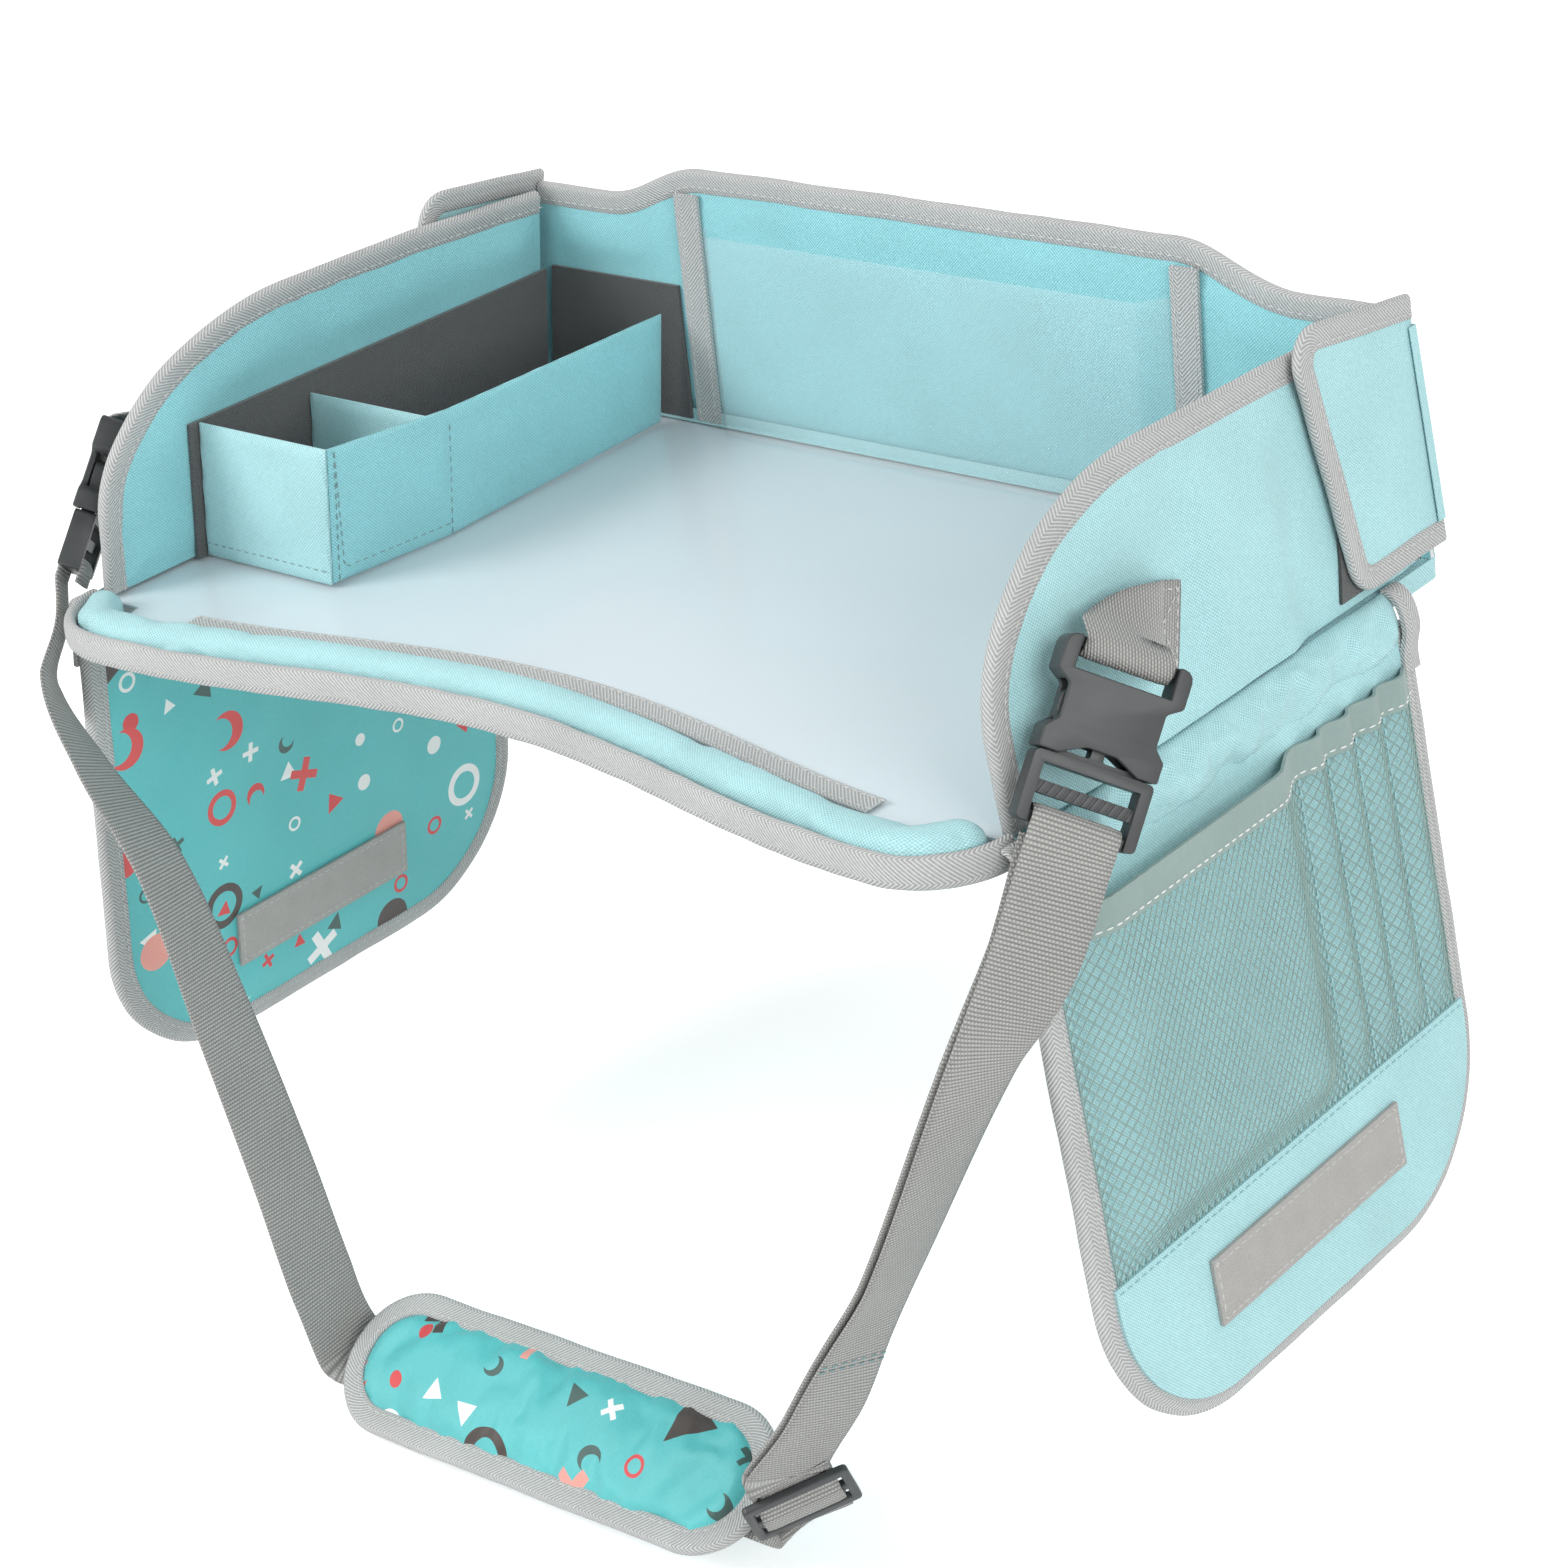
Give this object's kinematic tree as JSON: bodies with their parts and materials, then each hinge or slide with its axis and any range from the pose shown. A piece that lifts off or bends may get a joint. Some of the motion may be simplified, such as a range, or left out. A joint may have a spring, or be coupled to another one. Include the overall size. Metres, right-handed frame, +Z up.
{
  "type": "car seat tray table",
  "caption": "Soft lap tray for a child car seat: stiff base, fold-up walls, clear tablet pocket, snack pocket, net side flaps and a buckled strap with pad",
  "frame": {"origin": "centre of the flat underside of the base cover, midway between the side walls", "axes": "+X to the tray's right side seen from its front edge, +Y from the curved front edge to the tablet wall, +Z up out of the tray"},
  "size_m": [0.5124, 0.3199, 0.4153],
  "materials": {
    "teal_oxford": "polyester oxford weave, light aqua",
    "printed_lining": "smooth printed polyester, deep teal",
    "grey_twill": "herringbone twill binding",
    "grey_webbing": "coarse ribbed polypropylene webbing",
    "grey_loop": "loop side of hook-and-loop tape",
    "grey_net": "knotless mesh",
    "black_hook": "hook side of hook-and-loop tape",
    "black_acetal": "moulded acetal with a fine satin grain",
    "stiffener": "flat polypropylene sheet",
    "white_board": "smooth drawing surface",
    "clear_film": "clear flexible vinyl film"
  },
  "bodies": {
    "tray": {"base_board": "stiffener", "drawing_board": "white_board", "board_film": "clear_film", "film_edge_tape": "grey_twill", "base_bottom_cover": "teal_oxford", "base_binding": "grey_twill", "front_bumper_roll": "teal_oxford", "left_wall_board": "stiffener", "left_wall_inner_cover": "teal_oxford", "left_wall_outer_cover": "teal_oxford", "left_wall_binding": "grey_twill", "left_hook_patch": "black_hook", "left_anchor_webbing": "grey_webbing", "left_buckle_socket": "black_acetal", "right_wall_board": "stiffener", "right_wall_inner_cover": "teal_oxford", "right_wall_outer_cover": "teal_oxford", "right_wall_binding": "grey_twill", "right_hook_patch": "black_hook", "right_anchor_webbing": "grey_webbing", "right_buckle_socket": "black_acetal", "snack_wall_backing": "black_hook"},
    "back_wall": {"back_wall_board": "stiffener", "back_wall_front_cover": "teal_oxford", "back_wall_rear_cover": "teal_oxford", "back_wall_binding": "grey_twill", "tablet_film": "clear_film", "tablet_tape_left": "grey_twill", "tablet_tape_right": "grey_twill", "snack_rear_strip": "black_hook"},
    "left_tab": {"left_tab": "teal_oxford", "left_tab_binding": "grey_twill"},
    "right_tab": {"right_tab": "teal_oxford", "right_tab_binding": "grey_twill"},
    "left_flap": {"left_flap_panel": "teal_oxford", "left_flap_binding": "grey_twill", "left_flap_net": "grey_net", "left_flap_net_band": "grey_twill", "left_flap_lower_band": "teal_oxford", "left_flap_loop_strip": "grey_loop", "left_flap_hook_strip": "grey_loop"},
    "right_flap": {"right_flap_panel": "teal_oxford", "right_flap_binding": "grey_twill", "right_flap_net": "grey_net", "right_flap_net_band": "grey_twill", "right_flap_lower_band": "teal_oxford", "right_flap_loop_strip": "grey_loop", "right_flap_hook_strip": "grey_loop"},
    "snack_front_panel": {"snack_front_panel": "teal_oxford"},
    "snack_long_panel": {"snack_long_panel": "teal_oxford"},
    "snack_divider": {"snack_divider": "teal_oxford"},
    "strap": {"left_buckle_plug": "black_acetal", "right_buckle_plug": "black_acetal", "lap_strap": "grey_webbing", "lap_strap_return": "grey_webbing", "strap_slider": "black_acetal", "pad_front_cover": "printed_lining", "pad_sleeve": "teal_oxford", "pad_binding": "grey_twill"}
  },
  "joints": [
    {"name": "back_wall_fold", "type": "hinge", "parent": "tray", "child": "back_wall", "pos_m": [0, 0.1318, 0.0084], "axis": [-1, 0, 0], "range_deg": [0, 90]},
    {"name": "left_tab_crease", "type": "hinge", "parent": "back_wall", "child": "left_tab", "pos_m": [-0.21948, 0.1318, 0.01003], "axis": [-0.1478, 0, -0.989], "range_deg": [0, 90]},
    {"name": "right_tab_crease", "type": "hinge", "parent": "back_wall", "child": "right_tab", "pos_m": [0.21948, 0.1318, 0.01003], "axis": [-0.1478, 0, 0.989], "range_deg": [0, 90]},
    {"name": "left_flap_fold", "type": "hinge", "parent": "tray", "child": "left_flap", "pos_m": [-0.2183, 0, -0.0003], "axis": [0, -1, 0], "range_deg": [0, 74]},
    {"name": "right_flap_fold", "type": "hinge", "parent": "tray", "child": "right_flap", "pos_m": [0.2183, 0, -0.0003], "axis": [0, 1, 0], "range_deg": [0, 74]},
    {"name": "snack_front_fold", "type": "hinge", "parent": "tray", "child": "snack_front_panel", "pos_m": [-0.2086, -0.079, 0.0084], "axis": [-0.1478, 0, -0.989], "range_deg": [0, 48]},
    {"name": "snack_corner_fold", "type": "hinge", "parent": "snack_front_panel", "child": "snack_long_panel", "pos_m": [-0.1416, -0.076, 0.0084], "axis": [-0.1478, 0, -0.989], "range_deg": [-48, 0]},
    {"name": "snack_divider_fold", "type": "hinge", "parent": "tray", "child": "snack_divider", "pos_m": [-0.2086, -0.02, 0.0084], "axis": [-0.1478, 0, -0.989], "range_deg": [0, 48]},
    {"name": "strap_release", "type": "slide", "parent": "tray", "child": "strap", "axis": [0, -0.6018, -0.7986], "range_m": [0, 0.02]}
  ],
  "couplings": [
    {"joint": "snack_corner_fold", "follows": "snack_front_fold", "ratio": -1},
    {"joint": "snack_divider_fold", "follows": "snack_front_fold", "ratio": 1}
  ]
}
